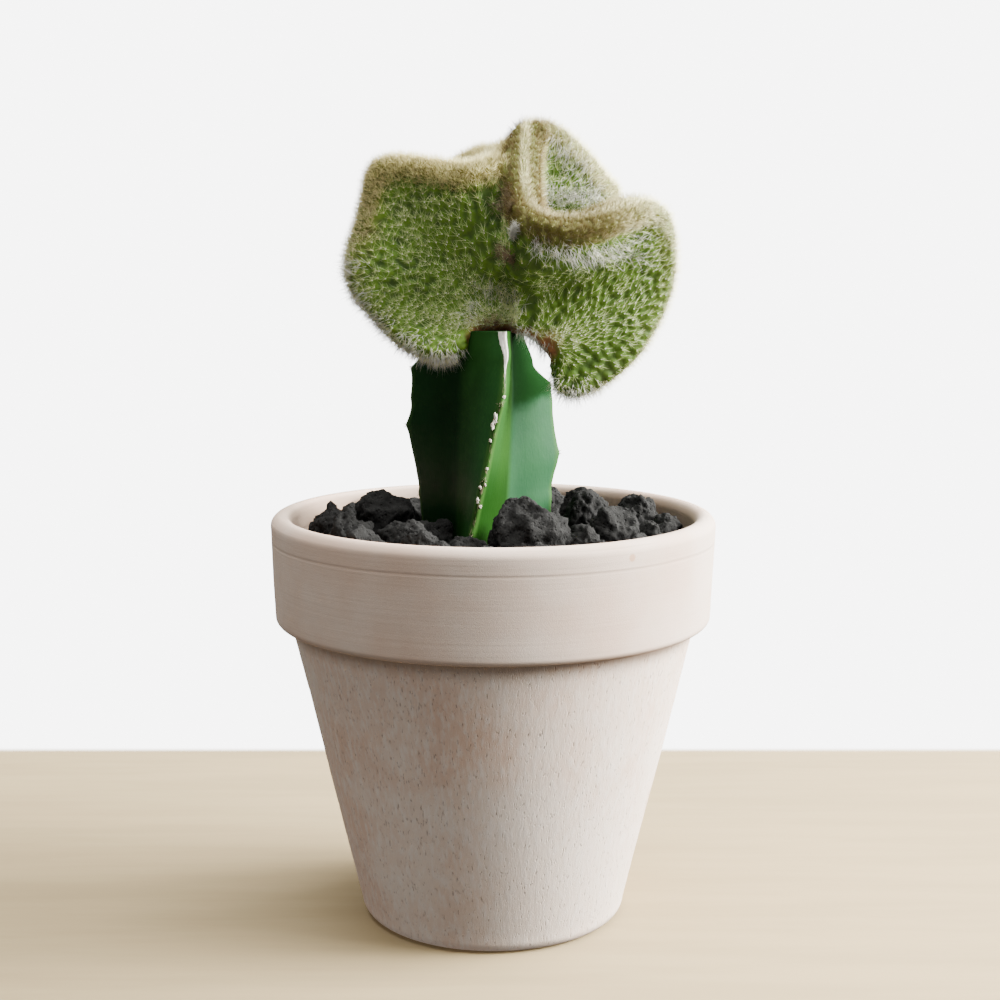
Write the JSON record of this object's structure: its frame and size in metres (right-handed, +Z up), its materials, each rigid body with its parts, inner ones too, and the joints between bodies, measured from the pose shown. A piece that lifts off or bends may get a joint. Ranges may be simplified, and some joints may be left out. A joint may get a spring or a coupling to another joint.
{
  "type": "potted crested foxtail cactus",
  "caption": "Folded crested cactus with fine spines, grafted on a three-ribbed stem, standing in a tapered clay pot topped with lava stones.",
  "frame": {"origin": "middle of the pot's base, on the surface it stands on", "axes": "+Z up along the pot's axis, -Y towards the viewer, +X to the viewer's right"},
  "size_m": [0.11, 0.11, 0.2001],
  "materials": {
    "clay": "matt unglazed clay, washed grey-beige, pitted and streaked",
    "potting_mix": "dark crumbly mineral mix",
    "lava": "matt porous charcoal-grey lava",
    "stock_skin": "smooth, slightly glossy dark green plant skin with pale cork scars",
    "crest_skin": "bright green tubercled plant skin under cream to tan spines and white wool"
  },
  "bodies": {
    "root": {"pot": "clay", "soil": "potting_mix", "stock": "stock_skin", "crest": "crest_skin", "stone_01": "lava", "stone_02": "lava", "stone_03": "lava", "stone_04": "lava", "stone_05": "lava", "stone_06": "lava", "stone_07": "lava", "stone_08": "lava", "stone_09": "lava", "stone_10": "lava", "stone_11": "lava", "stone_12": "lava", "stone_13": "lava", "stone_14": "lava", "stone_15": "lava", "stone_16": "lava", "stone_17": "lava", "stone_18": "lava", "stone_19": "lava", "stone_20": "lava", "stone_21": "lava", "stone_22": "lava", "stone_23": "lava", "stone_24": "lava", "stone_25": "lava", "stone_26": "lava", "stone_27": "lava", "stone_28": "lava", "stone_29": "lava", "stone_30": "lava", "stone_31": "lava", "stone_32": "lava", "stone_33": "lava", "stone_34": "lava", "stone_35": "lava", "stone_36": "lava", "stone_37": "lava", "stone_38": "lava", "stone_39": "lava"}
  },
  "joints": []
}
